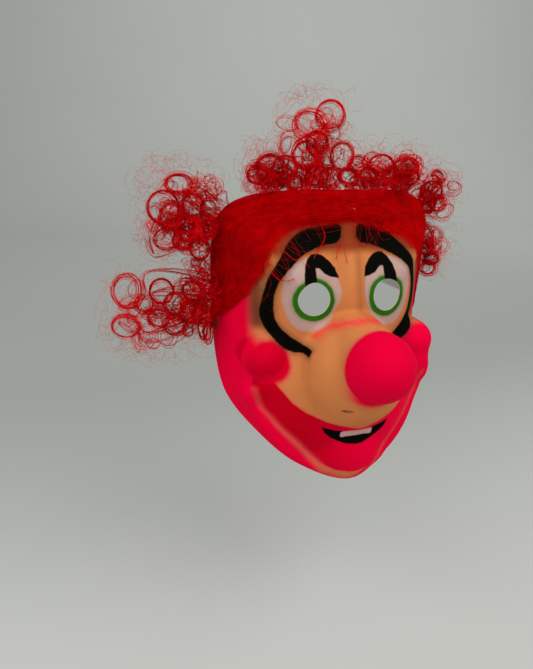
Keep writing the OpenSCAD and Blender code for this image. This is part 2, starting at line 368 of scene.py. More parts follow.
# From the bottom up: mark, how soft it is inside and outside its edge in mm, strength, and colour
LAYERS = [
    # Painted shade: brown darkening in the crease beside the nose bridge
    ("crease", 2.5, 7.0, 0.45, CREASE_SHADE),
    ("side", 3.0, 9.0, 0.65, SALMON),
    ("smile", 2.0, 6.0, 0.45, SALMON),
    ("nose", 1.0, 6.0, 0.35, SALMON),
    ("cheek", 1.0, 6.0, 0.35, SALMON),
    # Brown overspray with painted shade under the hair, over the forehead above the eyes
    ("brow", 3.0, 5.0, 0.95, BROW_OVERSPRAY_AND_SHADE),
    ("side", 3.0, 4.5, 1.0, "side pink"),
    # The smile's pink, painted darker as shade on the wearer's right
    ("smile", 0.6, 0.9, 1.0, "smile pink"),
    ("nose", 2.0, 2.2, 1.0, NOSE_PINK),
    # The fold's crest: left bare between the sprays, with a painted highlight along it
    ("fold", 1.0, 4.0, 0.65, SALMON),
    ("arc", 0.5, 1.8, 0.75, PINK),
    ("smear", 2.0, 6.0, 0.75, SMEAR),
    # The cheek's pink, painted darker as shade on the wearer's right
    ("cheek", 1.6, 2.2, 1.0, "cheek pink"),
    # Painted shade round the breathing slit and on its walls
    ("slit", 0.3, 0.6, 0.9, SLIT_SHADE),
    # The eye white, from lit and shaded copies of its paint
    ("white", 1.4, 0.8, 1.0, "eye white"),
    ("iris", 0.8, 3.2, 0.35, GREEN_LIGHT),
    ("iris", 0.7, 0.8, 1.0, "iris green"),
    ("band", 0.5, 4.5, 0.45, SMEAR),
    ("band", 0.5, 0.7, 1.0, BLACK),
    ("lash", 0.5, 0.5, 1.0, BLACK),
    ("mouth", 0.4, 0.6, 1.0, BLACK),
    ("tooth", 0.6, 0.4, 1.0, TOOTH),
    # Red tint from under the combed hair out past its edge: fine hair, with painted reflection
    ("veil", 4.0, 7.5, 0.85, HAIR_VEIL_AND_REFLECTION),
]


def mixed_paints(tree, broad):
    """The paints that vary over the mask, some with painted shade: the smile and cheeks are darker on the
    wearer's right, away from the light, and the eye white mixes lit and shaded copies.
    """
    # 0 on the wearer's right, which gets the painted shade, and 1 towards the lit left
    left = ramp(tree, attribute(tree, "across"), -42.0, 12.0)
    side = mix(tree, broad, PINK_DEEP, PINK)
    return {
        "side pink": side,
        "smile pink": mix(tree, left, mix(tree, broad, SMILE_SHADE_DEEP, SMILE_SHADE), side),
        "cheek pink": mix(tree, left, CHEEK_SHADE, PINK),
        # Lit and shaded copies of the eye white, mixed by broad noise: painted shade
        "eye white": mix(tree, broad, WHITE_SHADE, WHITE),
        "iris green": mix(tree, broad, GREEN, GREEN_LIGHT),
    }


def painted_plastic():
    """Sprayed and masked paint, with painted shade and highlight among its marks: each mark is a distance to
    its edge, stored on the mesh.
    """
    material, tree, shader = new_material("painted_plastic")
    broad = noise(tree, 38.0, 2.0)
    fine = noise(tree, 900.0, 2.0)
    ragged = math_node(tree, "MULTIPLY_ADD", noise(tree, 260.0), 1.2)
    ragged.node.inputs[2].default_value = -0.6
    mixed = mixed_paints(tree, broad)
    colour = mix(tree, broad, PEACH_DEEP, PEACH)
    for name, soft_in, soft_out, strength, paint in LAYERS:
        edge = math_node(tree, "ADD", attribute(tree, name), ragged)
        cover = ramp(tree, edge, -soft_in, soft_out, strength, 0.0)
        colour = mix(tree, cover, colour, mixed[paint] if paint in mixed else paint)
    link(tree, colour, shader.inputs["Base Color"])
    link(tree, ramp(tree, fine, 0.3, 0.7, 0.58, 0.72), shader.inputs["Roughness"])
    shader.inputs["Specular IOR Level"].default_value = 0.01
    set_bump(tree, shader, fine, 0.10, 0.0002)
    return material


def plastic_edge():
    """The cut edge: bare plastic with a little overspray."""
    material, tree, shader = new_material("plastic_edge")
    colour = mix(tree, noise(tree, 400.0), (0.80, 0.50, 0.36, 1), (0.88, 0.66, 0.54, 1))
    link(tree, colour, shader.inputs["Base Color"])
    shader.inputs["Roughness"].default_value = 0.5
    set_bump(tree, shader, noise(tree, 1500.0), 0.15, 0.0002)
    return material


def raw_plastic():
    """The inside: bare peach plastic with soft mottling and darker specks."""
    material, tree, shader = new_material("raw_plastic")
    mottled = mix(tree, noise(tree, 45.0, 4.0), (0.66, 0.40, 0.28, 1), (0.80, 0.56, 0.43, 1))
    speck = ramp(tree, noise(tree, 700.0, 2.0), 0.66, 0.74)
    link(tree, mix(tree, speck, mottled, (0.55, 0.25, 0.19, 1)), shader.inputs["Base Color"])
    set_roughness(tree, shader, 120.0, 0.45, 0.62)
    set_bump(tree, shader, noise(tree, 350.0, 4.0), 0.2, 0.0003)
    return material


def hair_material(name, dark, bright, roughness):
    """Each strand has its own tone, from dark to bright."""
    material, tree, shader = new_material(name)
    tone = attribute(tree, "tone")
    varied = math_node(tree, "ADD", tone, ramp(tree, noise(tree, 160.0), 0.3, 0.7, -0.16, 0.16))
    link(tree, mix(tree, ramp(tree, varied, 0.0, 1.0), dark, bright), shader.inputs["Base Color"])
    set_roughness(tree, shader, 1200.0, roughness, roughness + 0.15)
    shader.inputs["Specular IOR Level"].default_value = 0.02
    set_bump(tree, shader, noise(tree, 2600.0), 0.15, 0.0001)
    return material


def weave_material(name, dark, light, threads, bump_strength):
    """Crossed threads, from two wave textures."""
    material, tree, shader = new_material(name)
    inputs = {"Vector": object_place(tree), "Scale": threads, "Distortion": 0.6}
    waves = [add(tree, "ShaderNodeTexWave", inputs, bands_direction=axis) for axis in ("X", "Z")]
    woven = math_node(tree, "MULTIPLY", waves[0].outputs["Fac"], waves[1].outputs["Fac"])
    link(tree, mix(tree, woven, dark, light), shader.inputs["Base Color"])
    set_roughness(tree, shader, 500.0, 0.72, 0.9)
    set_bump(tree, shader, woven, bump_strength, 0.0003)
    return material


def steel_material():
    material, tree, shader = new_material("staple_wire")
    colour = mix(tree, noise(tree, 700.0), (0.50, 0.50, 0.52, 1), (0.72, 0.72, 0.74, 1))
    link(tree, colour, shader.inputs["Base Color"])
    shader.inputs["Metallic"].default_value = 1.0
    set_roughness(tree, shader, 1500.0, 0.25, 0.42)
    return material


# ---- Painted marks, as outlines in the front view on the wearer's left half ----
BAND = [
    (6, 38), (6, 52), (17, 49), (32, 46.5), (42, 39), (52, 28.5), (58.5, 16), (62, 1), (64, -14), (58, -26.5),
    (49, -36.6), (42, -39.6), (37, -39.4), (29.5, -37.6), (31, -35.4), (38, -32.4), (46, -26.5), (53, -19),
    (55.5, -11), (55.5, 2), (52.5, 13), (45.5, 22.5), (34, 30), (20, 35.5),
]
LASH = [
    (36.5, 9.5), (36, 17), (34.5, 22.5), (31.5, 27.5), (28, 30), (24.5, 30.5), (20, 29), (15.5, 25.5),
    (12.2, 21), (9.8, 14), (15, 14.6), (20, 16.8), (24, 20.6), (26.6, 20.8), (26.8, 9.5),
]
SMILE = [
    (-20, -91), (0, -91), (11, -88.5), (25, -85), (37, -80.5), (45, -74.5), (51, -67.5), (56, -61),
    (62, -56), (69, -52), (71.5, -60), (70.5, -70), (64.5, -80.5), (52, -95.5), (41, -106), (31, -116.5),
    (24, -123), (13, -127.5), (0, -129), (-20, -129),
]
SIDE = [
    (-20, 80), (-20, 66), (30, 66), (55, 62), (66, 50), (69, 30), (69, 0), (68.5, -26), (68.5, -38),
    (66, -46), (64, -58), (65, -70), (64.5, -79), (57.5, -89), (56, -93), (49.5, -101), (39.5, -111.5),
    (31, -122), (24, -131), (12, -136), (0, -138), (-20, -138), (-20, -160), (130, -160), (130, 80),
]
MOUTH = [
    (27.5, -90), (23.5, -96.3), (19, -100), (13.5, -103), (7.5, -105), (0, -105.8), (-20, -105.8),
    (-20, -94.3), (0, -94.3), (12, -93.6), (20, -92.4),
]
# The smile fold's crest: a bare line between the sprays, with a painted highlight
FOLD = [(70, -66), (65, -81), (52, -96), (41, -106), (31, -117), (24, -124), (13, -134)]
WHITE_EDGE = [
    (51.3, 0), (50.9, 14), (47.5, 20.5), (41.7, 24.9), (34, 27.8), (26.3, 27.9), (18, 24), (12.8, 18.2),
    (9.5, 11), (8.9, 5), (9.8, -1), (12.6, -7.8), (17, -14.5), (22.4, -19.6), (28, -23), (33.2, -24.1),
    (39.5, -22.6), (44.5, -18), (49, -9),
]
ARC = [(30, -27), (25, -22), (20, -18), (12, -13.2), (3, -11.1), (0, -11)]
# Where the painted shade beside the nose bridge runs, on the wearer's left only
CREASE = [(4.5, 27), (3, 10), (4.5, -7)]
SMEAR_LINE = [(65, 20), (66, 0), (64.5, -20)]
SLIT = (-18.4, -37.0, -69.3)
IRIS_R = 15.2
IRIS_UP = -0.7
CHEEK_MARK = (60.3, -46)
CHEEK_MARK_R = (15.6, 15.4)
TOOTH_UP = -95.7
TOOTH_SAG = 0.008
# The eyes' paint stops at this place along Y, where the muzzle begins
MUZZLE_START = -8


def outline_distance(x, z, corners):
    """Signed distance to a closed outline, negative inside."""
    nearest = np.full(x.shape, 1e9)
    inside = np.zeros(x.shape, bool)
    for (ax, az), (bx, bz) in zip(corners, corners[1:] + corners[:1]):
        nearest = np.minimum(nearest, segment_distance(x, z, (ax, az), (bx, bz)))
        if az != bz:
            crossing = (az > z) != (bz > z)
            inside ^= crossing & (x < (bx - ax) * (z - az) / (bz - az) + ax)
    return np.where(inside, -nearest, nearest)


def segment_distance(x, z, a, b):
    dx, dz = b[0] - a[0], b[1] - a[1]
    t = np.clip(((x - a[0]) * dx + (z - a[1]) * dz) / (dx * dx + dz * dz), 0, 1)
    return np.hypot(x - a[0] - t * dx, z - a[1] - t * dz)


def line_distance(x, z, points):
    return np.min([segment_distance(x, z, a, b) for a, b in zip(points, points[1:])], axis=0)


def rounded(corners):
    """The outline with each corner cut once."""
    p = np.array(corners, float)
    q = np.roll(p, -1, axis=0)
    return [tuple(c) for pair in zip(0.75 * p + 0.25 * q, 0.25 * p + 0.75 * q) for c in pair]


def rounded_box(x, z, half_x, half_z, corner):
    return np.hypot(np.maximum(np.abs(x) - half_x, 0), np.maximum(np.abs(z) - half_z, 0)) - corner


def oval_distance(x, z, centre, radii):
    q = np.hypot((x - centre[0]) / radii[0], (z - centre[1]) / radii[1])
    return (q - 1) * min(radii)


def veil_distance(p):
    """Signed distance to the combed hair's inner edge, negative under the hair."""
    turn = np.linspace(-0.56, 0.56, 160)
    inner = mat_edge(turn)
    edge = face_point(inner, turn)
    step = face_point(np.minimum(1, inner + 0.01), turn) - face_point(inner - 0.01, turn)
    nearest = np.full(len(p), 1e9)
    beyond = np.zeros(len(p))
    for point, way in zip(edge, unit(step)):
        gap = np.linalg.norm(p - point, axis=1)
        closer = gap < nearest
        beyond = np.where(closer, (p - point) @ way, beyond)
        nearest = np.where(closer, gap, nearest)
    return np.where(beyond > 0, -nearest, nearest)


def paint_marks(mesh):
    """Stores the distance to each mark's edge, in millimetres, on the shell's points."""
    p = mesh_points(mesh) / MM - EYE_MID
    x, z = np.abs(p[:, 0]), p[:, 2]
    on_left = p[:, 0] > 0
    on_muzzle = MUZZLE_START - p[:, 1]
    chin_left = 9 * smoothstep(-5, 15, p[:, 0]) * smoothstep(70, 90, -z)
    cheek_x = x - LEFT_CHEEK_SHIFT[0] * on_left
    cheek_z = z - LEFT_CHEEK_SHIFT[2] * on_left
    nose_base = p[:, 1] + 40.5 - 0.08 * (z - NOSE[2])
    marks = {
        "band": np.maximum(outline_distance(x, z, rounded(BAND)), on_muzzle - 1.5),
        "lash": outline_distance(x, z, LASH),
        "smile": outline_distance(x, z, SMILE),
        "side": outline_distance(x, z, SIDE) - chin_left,
        "mouth": outline_distance(x, z, MOUTH),
        "tooth": rounded_box(x, z - TOOTH_UP + TOOTH_SAG * x * x, 11.6, 1.5, 1.2),
        # Fold crest: a bare line between the sprays, with a painted highlight
        "fold": line_distance(x, z, FOLD),
        "arc": line_distance(x, z, ARC),
        # Painted shade beside the nose bridge; x keeps its sign, so it is on the wearer's left only
        "crease": line_distance(p[:, 0], z, CREASE),
        "white": np.maximum(outline_distance(x, z, rounded(WHITE_EDGE)), on_muzzle),
        "iris": np.hypot(x - EYE_X, z - IRIS_UP) - IRIS_R,
        "cheek": oval_distance(cheek_x, cheek_z, CHEEK_MARK, CHEEK_MARK_R),
        "across": p[:, 0],
        # Painted shade round the slit, on the wearer's right only
        "slit": np.maximum(oval_distance(p[:, 0], z, SLIT[::2], (3.0, 1.0)), on_left),
        "nose": np.maximum(np.linalg.norm(p - NOSE, axis=1) - NOSE_R - 4.0, nose_base),
        "smear": line_distance(x, z, SMEAR_LINE) - 2.0,
        # Brow: brown overspray with painted shade under the hair
        "brow": np.maximum(32.5 - z - 0.001 * x * x, x - 62),
        # Distance to the combed hair's edge, for the red tint of fine hair and painted reflection
        "veil": veil_distance(p),
    }
    for name, distance in marks.items():
        store(mesh, name, distance)


# ---- The shell ----
RINGS = 146
SPOKES = 320
SHEET_T = 0.9
CUT_DEPTH = 25.0
PAINTED, RAW, EDGE = 0, 1, 2


def even_rings(turns, count):
    """The out values that space count rings evenly along the surface on each spoke."""
    fine = np.linspace(0, 1, 600)
    p = face_point(*np.meshgrid(fine, turns, indexing="ij"))
    length = np.cumsum(np.linalg.norm(np.diff(p, axis=0, prepend=p[:1]), axis=-1), axis=0)
    even = np.linspace(0, 1, count + 1)[1:]
    spaced = [np.interp(even, length[:, j] / length[-1, j], fine) for j in range(len(turns))]
    return np.array(spaced).T


def soften(values, passes):
    """Averages each point of a grid with its neighbours, all but the outer ring."""
    for _ in range(passes):
        side = (np.roll(values, 1, axis=1) + np.roll(values, -1, axis=1)) / 2
        inner = (values[:-2] + values[2:]) / 2
        values = values.copy()
        values[1:-1] = 0.5 * values[1:-1] + 0.25 * side[1:-1] + 0.25 * inner
    return values


def shell_faces():
    """Quads of the two walls, and of the rim between them."""
    i, j = np.meshgrid(np.arange(RINGS - 1), np.arange(SPOKES), indexing="ij")
    k = (j + 1) % SPOKES
    a, b, c, e = i * SPOKES + j, (i + 1) * SPOKES + j, (i + 1) * SPOKES + k, i * SPOKES + k
    count = RINGS * SPOKES
    outer = np.stack([a, e, c, b], -1).reshape(-1, 4)
    inner = np.stack([a, b, c, e], -1).reshape(-1, 4) + count
    last = (RINGS - 1) * SPOKES + np.arange(SPOKES)
    after = np.roll(last, -1)
    rim = np.stack([last, after, after + count, last + count], -1)
    return outer, inner, rim


def shell_tips():
    """Triangles from the first ring of each wall to the point at its middle."""
    ring = np.arange(SPOKES)
    after = np.roll(ring, -1)
    count = RINGS * SPOKES
    tip = np.full(SPOKES, 2 * count)
    return np.stack([ring, tip, after], -1), np.stack([after + count, tip + 1, ring + count], -1)


def shell_mesh():
    turns = -1 + 2 * np.arange(SPOKES) / SPOKES
    out = even_rings(turns, RINGS)
    outside = soften(face_point(out, np.broadcast_to(turns, out.shape)), 2)
    around = np.roll(outside, -1, axis=1) - np.roll(outside, 1, axis=1)
    normal = np.cross(np.gradient(outside, axis=0), around)
    normal = soften(unit(normal), 3)
    normal *= np.sign(((outside - HUB) * normal).sum(-1, keepdims=True))
    inside = outside - unit(normal) * SHEET_T
    tip = face_point(0.0, 0.0)
    points = np.vstack([outside.reshape(-1, 3), inside.reshape(-1, 3), tip, tip + [0, SHEET_T, 0]])
    outer, inner, rim = shell_faces()
    tips = shell_tips()
    faces = [list(map(int, f)) for group in (outer, inner, rim, *tips) for f in group]
    mesh = mixed_mesh("shell", points, faces)
    counts = (len(outer), len(inner), len(rim), len(tips[0]), len(tips[1]))
    index = np.repeat([PAINTED, RAW, EDGE, PAINTED, RAW], counts)
    mesh.polygons.foreach_set("material_index", index.astype(np.int32))
    return mesh


def hole_cutter(name, centre, radii, lean, materials, sides=56, inside=EDGE):
    """An oval prism along Y, leaned about X. inside is the material slot of the cut's walls."""
    a = 2 * math.pi * np.arange(sides) / sides
    ring = np.stack([radii[0] * np.cos(a), np.zeros(sides), radii[1] * np.sin(a)], -1)
    depth = np.array([0, CUT_DEPTH, 0])
    points = np.vstack([ring - depth, ring + depth])
    c, s = math.cos(lean), math.sin(lean)
    points = points @ np.array([[1, 0, 0], [0, c, s], [0, -s, c]]) + centre
    k = np.arange(sides)
    walls = np.stack([k + sides, (k + 1) % sides + sides, (k + 1) % sides, k], -1)
    faces = walls.tolist() + [k.tolist(), (k + sides)[::-1].tolist()]
    mesh = mixed_mesh(name, points, faces)
    mesh.polygons.foreach_set("material_index", np.full(len(faces), inside, np.int32))
    return new_object(name, mesh, *materials)


def cut_holes(shell, cutters):
    """Cuts the holes for good and removes the cutters."""
    for cutter in cutters:
        cut = shell.modifiers.new("cut", "BOOLEAN")
        cut.operation = "DIFFERENCE"
        cut.solver = "EXACT"
        cut.object = cutter
    bpy.context.view_layer.update()
    evaluated = shell.evaluated_get(bpy.context.evaluated_depsgraph_get())
    mesh = bpy.data.meshes.new_from_object(evaluated)
    shell.modifiers.clear()
    shell.data = mesh
    for cutter in cutters:
        bpy.data.objects.remove(cutter)


def make_shell():
    materials = (painted_plastic(), raw_plastic(), plastic_edge())
    shell = new_object("shell", shell_mesh(), *materials)
    cutters = [
        hole_cutter(f"eye_cutter_{side}", (side * EYE_X, 0, 0), (EYE_HOLE_R, EYE_HOLE_R), 0, materials)
        for side in (-1, 1)
    ]
    # The slit's walls take the painted material, so the slit's painted shade covers them too
    cutters.append(hole_cutter("slit_cutter", SLIT, (2.5, 0.45), 0.6, materials, 24, PAINTED))
    cut_holes(shell, cutters)
    shell.data.polygons.foreach_set("use_smooth", np.ones(len(shell.data.polygons), bool))
    shell.data.set_sharp_from_angle(angle=math.radians(50))
    paint_marks(shell.data)
    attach(shell, "mask")
    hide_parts("mask_shell")


# ---- Strands ----
def tube_mesh(name, groups):
    """groups are (paths, radii, tones, sideways): paths is strands by points by 3, in the face's mm."""
    points, faces, tones, first = [], [], [], 0
    for paths, radii, tone, sideways in groups:
        strands, rows = paths.shape[:2]
        tangent = unit(np.gradient(paths, axis=1))
        side = unit(np.cross(tangent, sideways[:, None, :] + 1e-3 * tangent[:, :, ::-1]))
        other = np.cross(tangent, side)
        end = np.minimum(1, np.minimum(np.arange(rows) + 1.0, rows - np.arange(rows)) / 3)
        reach = radii[:, None, None, None] * end[None, :, None, None]
        a = 2 * math.pi * np.arange(3) / 3
        ring = side[:, :, None] * np.cos(a)[:, None] + other[:, :, None] * np.sin(a)[:, None]
        points.append((paths[:, :, None] + ring * reach).reshape(-1, 3))
        start = first + (np.arange(strands)[:, None, None] * rows + np.arange(rows - 1)[None, :, None]) * 3
        k = np.arange(3)
        after = (k + 1) % 3
        quad = np.stack([start + k, start + after, start + after + 3, start + k + 3], -1)
        faces.append(quad.reshape(-1, 4))
        tones.append(np.repeat(tone, rows * 3))
        first += strands * rows * 3
    mesh = new_mesh(name, to_metres(np.vstack(points)), np.vstack(faces))
    store(mesh, "tone", np.concatenate(tones))
    return mesh


def wander(rng, strands, rows, size, fastest=7.0, waves=4):
    """Smooth random wandering along each strand, from a few sine waves."""
    t = np.linspace(0, 1, rows)
    total = np.zeros((strands, rows, 3))
    for _ in range(waves):
        cycles = rng.uniform(0.3, fastest, (strands, 1, 3))
        phase = rng.uniform(0, 2 * math.pi, (strands, 1, 3))
        height = rng.normal(0, size / waves**0.5, (strands, 1, 3))
        total += height * np.sin(cycles * 2 * math.pi * t[None, :, None] + phase)
    return total


def curve_between(a, ta, b, tb, t):
    """Cubic curve from a to b with end tangents ta and tb."""
    t = t[None, :, None]
    h = (2 * t**3 - 3 * t**2 + 1, t**3 - 2 * t**2 + t, -2 * t**3 + 3 * t**2, t**3 - t**2)
    return h[0] * a[:, None] + h[1] * ta[:, None] + h[2] * b[:, None] + h[3] * tb[:, None]


def ringlet(rng, roots, ways, centre, radii, axis, turns, strands, spread, way):
    """A lock in several thin cords: each leaves its own root and winds round the ring."""
    axis = unit(np.array(axis, float))
    up = unit(np.cross(np.cross(axis, [0, 0, 1.0]), axis))
    right = np.cross(up, axis)
    cords = max(2, strands // CORD_STRANDS)
    cord = rng.integers(0, cords, strands)
    loose = rng.random(strands) < 0.22
    slack = np.where(loose, 1.6, 0.0)[:, None] * rng.normal(0, 1, (strands, 3)) * spread
    cord_slack = rng.normal(0, 1, (cords, 3)) * spread
    slack = slack + cord_slack[cord] + rng.normal(0, 0.10, (strands, 3))
    rise = roots.mean(axis=0) - centre
    arrive = math.atan2(rise @ up, rise @ right) + rng.normal(0, 0.35)
    wide = np.clip(1 + slack[:, 0] / radii[0], 0.5, 1.45)
    total = turns * (rng.uniform(0.75, 1.05, cords)[cord] + rng.normal(0, 0.05, strands))
    rows = int(12 * turns) + 2
    t = np.linspace(0, 1, rows)
    angle = arrive + way * 2 * math.pi * total[:, None] * t
    shrink = wide[:, None] * (1 - 0.16 * t * rng.uniform(0.0, 1.6, cords)[cord, None])
    ring = (
        (centre + slack * 0.35)[:, None]
        + right * (radii[0] * shrink * np.cos(angle))[..., None]
        + up * (radii[1] * shrink * np.sin(angle))[..., None]
        + axis * ((t - 0.5) * rng.normal(2.0, 1.8, (cords, 1))[cord] * turns)[..., None]
    )
    tangent = unit(ring[:, 1] - ring[:, 0])
    pick = rng.integers(0, len(roots), cords)[cord]
    start = roots[pick] + rng.normal(0, 0.5, (strands, 3))
    gap = np.linalg.norm(ring[:, 0] - start, axis=1, keepdims=True)
    stem_t = np.linspace(0, 1, 9)[:-1]
    stem = curve_between(start, ways[pick] * gap * 0.8, ring[:, 0], tangent * gap * 0.9, stem_t)
    paths = np.concatenate([stem, ring], axis=1)
    paths += wander(rng, cords, paths.shape[1], 0.45 * spread, 3.0)[cord]
    paths += wander(rng, strands, paths.shape[1], 0.10)
    radius = np.where(loose, 0.075, 0.105) * rng.uniform(0.85, 1.15, strands)
    tone = np.clip(rng.normal(0.55, 0.2, cords)[cord] + rng.normal(0, 0.12, strands), 0, 1)
    return paths, radius, tone, np.broadcast_to(axis, (strands, 3))


def arcs(rng, centre, reach, count, bend_radius, sweep, thickness, cord):
    """Short lengths of curled hair scattered through an oval cloud, in cords of a few."""
    places = rng.normal(0, 1, (count, 3))
    places /= np.maximum(1, np.linalg.norm(places, axis=1, keepdims=True) / 1.7)
    start = centre + places * reach * 0.58
    way = unit(rng.normal(0, 1, (count, 3)))
    axis = unit(np.cross(way, np.cross(RING_FACING + rng.normal(0, 0.7, (count, 3)), way)))
    side = np.cross(axis, way)
    rows = 20
    t = np.linspace(0, 1, rows)
    bend = rng.uniform(*bend_radius, (count, 1))
    turned = rng.uniform(*sweep, (count, 1)) * t
    grow = bend * (1 - 0.25 * t)
    paths = start[:, None] + way[:, None] * (grow * np.sin(turned))[..., None]
    paths += side[:, None] * (grow * (1 - np.cos(turned)))[..., None]
    paths -= (paths.mean(axis=1, keepdims=True) - start[:, None]) * 0.6
    paths += wander(rng, count, rows, 0.9, 1.6)
    paths = np.repeat(paths, cord, axis=0)
    paths += rng.normal(0, 0.22, (len(paths), 1, 3)) * (cord > 1)
    radius = thickness * rng.uniform(0.8, 1.2, len(paths))
    tone = np.clip(rng.normal(0.5, 0.2, len(paths)), 0, 1)
    return paths, radius, tone, np.repeat(axis, cord, axis=0)


def keep_near(group, lo, hi):
    """The group without the strands that reach outside a box."""
    paths = group[0]
    inside = np.all((paths > lo) & (paths < hi), axis=(1, 2))
    return tuple(part[inside] for part in group)


# Each ring is its centre across and up the CAD tuft's box, its radius and how tall it is for its width
TUFTS = {
    # node: body, seed, first and last turn of its roots, rings, loose rings, flyaways,
    # clouds of short curls as across, up, half width, half height in mm and count
    "crown_right_curls": ("crown_hair", 11, (-0.17, -0.06), [
        (0.70, 0.55, 9.5, 0.9), (0.25, 0.35, 8, 0.8), (0.95, 0.2, 7.5, 0.9), (1.2, 0.35, 7, 0.9),
    ], 14, 280, [(0.9, 0.2, 14, 8, 60)]),
    "crown_top_curls": ("crown_hair", 12, (-0.11, 0.01), [
        (0.45, 0.72, 11.8, 1.0), (0.80, 0.83, 10.5, 1.0), (0.39, 0.38, 10.2, 1.0), (1.05, 0.36, 8.4, 1.25),
        (0.07, 0.19, 9.4, 1.0), (0.62, 0.12, 8.5, 0.9), (0.85, 0.10, 7, 1.0), (0.25, 0.05, 6.5, 0.8),
        (0.6, 0.5, 8, 1.1),
    ], 20, 480, [(0.5, 0.12, 20, 8, 90), (0.75, 0.4, 14, 12, 70)]),
    "crown_left_curls": ("crown_hair", 13, (0.01, 0.20), [
        (0.17, 0.60, 7.5, 0.9), (0.80, 0.60, 9.5, 0.75), (0.50, 0.65, 8.5, 0.75), (0.02, 0.3, 7, 0.9),
        (0.35, 0.35, 7, 0.8), (0.65, 0.35, 7.5, 0.8), (0.95, 0.30, 7, 0.9), (0.85, 0.15, 6.5, 0.8),
    ], 24, 440, [(0.5, 0.2, 26, 8, 150), (0.8, 0.5, 14, 9, 110)]),
    "right_upper_curls": ("right_side_hair", 14, (-0.45, -0.22), [
        (0.30, 0.54, 12.0, 1.0), (0.40, 0.44, 8.8, 1.2), (0.34, 0.17, 10.5, 0.85), (0.73, 0.56, 7.5, 1.1),
        (0.95, 0.53, 6.5, 1.2), (0.79, 0.05, 7.5, 1.1), (0.50, 0.82, 9, 0.7), (0.62, 0.3, 9, 1.0),
        (0.85, 0.3, 8, 1.0), (0.55, 0.15, 8, 0.9),
    ], 24, 560, [(0.8, 0.25, 14, 20, 170), (0.45, 0.4, 12, 12, 70), (0.85, 0.75, 13, 10, 60)]),
    "right_lower_curls": ("right_side_hair", 15, (-0.56, -0.46), [
        (0.16, 0.80, 11.0, 1.1), (0.13, 0.31, 10.3, 0.85), (0.48, 0.80, 9, 1.1), (0.62, 0.26, 9.8, 0.75),
        (0.86, 0.40, 7.2, 0.95), (0.45, 0.42, 8.5, 0.8), (0.62, 0.58, 9.5, 1.0), (0.8, 0.75, 8.5, 0.9),
        (0.33, 0.6, 8, 0.8), (0.92, 0.6, 8.5, 1.0), (0.75, 0.5, 8, 1.0),
    ], 22, 500, [(0.88, 0.72, 15, 17, 230), (0.9, 1.12, 11, 9, 110), (0.55, 0.45, 18, 10, 90)]),
    "right_side_lock": ("right_side_hair", 16, (-0.57, -0.54), [
        (0.45, 0.45, 3.2, 2.6), (0.8, 0.3, 3, 2.4),
    ], 0, 40, []),
    "left_upper_curls": ("left_side_hair", 17, (0.20, 0.34), [
        (0.45, 0.48, 9.0, 1.0), (0.30, 0.25, 7.5, 1.1), (0.6, 0.2, 7, 0.9), (0.5, 0.85, 7, 0.8),
    ], 16, 160, [(0.3, 0.4, 9, 16, 70)]),
    "left_lower_curls": ("left_side_hair", 18, (0.34, 0.48), [
        (0.25, 0.83, 5.5, 2.0), (0.55, 0.25, 7.3, 0.8), (0.3, 0.5, 6.5, 1.0), (0.4, 0.05, 7, 0.9),
    ], 14, 160, [(0.3, 0.5, 8, 16, 50)]),
}
RING_FACING = np.array([-0.33, -0.90, 0.28])
LOOSE_STRANDS = 8
RING_STRANDS = 24
CORD_STRANDS = 5
# Bend radius in mm, turn in radians, thickness in mm, and hairs in a cord
SHORT_CURLS = ((3.0, 8.0), (1.8, 5.5), 0.10, 3)
FLYAWAYS = ((5, 15), (1.4, 4.0), 0.055, 1)
# How far past its CAD box a tuft's hair may stray
STRAY = 12.0
# How many places along the tape a tuft's locks can leave from
ROOTS = 16
# The most triangles in one piece; further strands go to the next piece. A piece's
# limit, so that it is exported whole
MOST_TRIANGLES = 190000


def band_roots(turns):
    """Where locks leave the sewn tape, at the very edge, and the way they leave it."""
    out = np.full(len(turns), 0.992)
    along = unit(face_point(out + 0.008, turns) - face_point(out - 0.03, turns))
    normal = face_normal(out, turns)
    return above_face(out, turns, np.full(len(turns), 1.0)), unit(0.35 * normal + along)


def tuft_box(node):
    lo, hi = (np.array(corner) / MM - EYE_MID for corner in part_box(node))
    return lo, hi - lo


def near_roots(rng, roots, centre):
    """The numbers of a few roots in a row, about where a lock at this centre would start."""
    nearest = int(np.argmin(np.linalg.norm(roots - centre, axis=1))) + rng.integers(-1, 2)
    first = int(np.clip(nearest - 1, 0, len(roots) - 3))
    return slice(first, first + 3)


def ring_locks(rng, rings, lo, size, roots, ways):
    """A full lock for each ring that shows."""
    groups = []
    for k, (across, up, radius, flatness) in enumerate(rings):
        centre = lo + size * (across, rng.uniform(0.35, 0.6), up)
        near = near_roots(rng, roots, centre)
        facing = RING_FACING + rng.normal(0, 0.2, 3)
        groups.append(ringlet(
            rng, roots[near], ways[near], centre, (radius, radius * flatness), facing,
            rng.uniform(2.2, 3.0), RING_STRANDS, 0.8, 1 if k % 2 else -1,
        ))
    return groups


def loose_locks(rng, count, lo, size, roots, ways):
    """Thinner locks scattered through the tuft, facing more ways."""
    groups = []
    for k in range(count):
        centre = lo + size * rng.uniform((0.1, 0.15, 0.0), (1.0, 0.85, 0.8))
        near = near_roots(rng, roots, centre)
        radius = rng.uniform(4.5, 9.0)
        facing = RING_FACING + rng.normal(0, 0.8, 3)
        groups.append(ringlet(
            rng, roots[near], ways[near], centre, (radius, radius * rng.uniform(0.6, 1.2)), facing,
            rng.uniform(1.2, 2.2), LOOSE_STRANDS, 1.2, 1 if k % 2 else -1,
        ))
    return groups


def share_out(groups):
    """The groups in lists, each small enough for one piece."""
    lists, total = [[]], 0
    for group in groups:
        strands, rows = group[0].shape[:2]
        triangles = strands * (rows - 1) * 6
        if total + triangles > MOST_TRIANGLES:
            lists.append([])
            total = 0
        lists[-1].append(group)
        total += triangles
    return lists


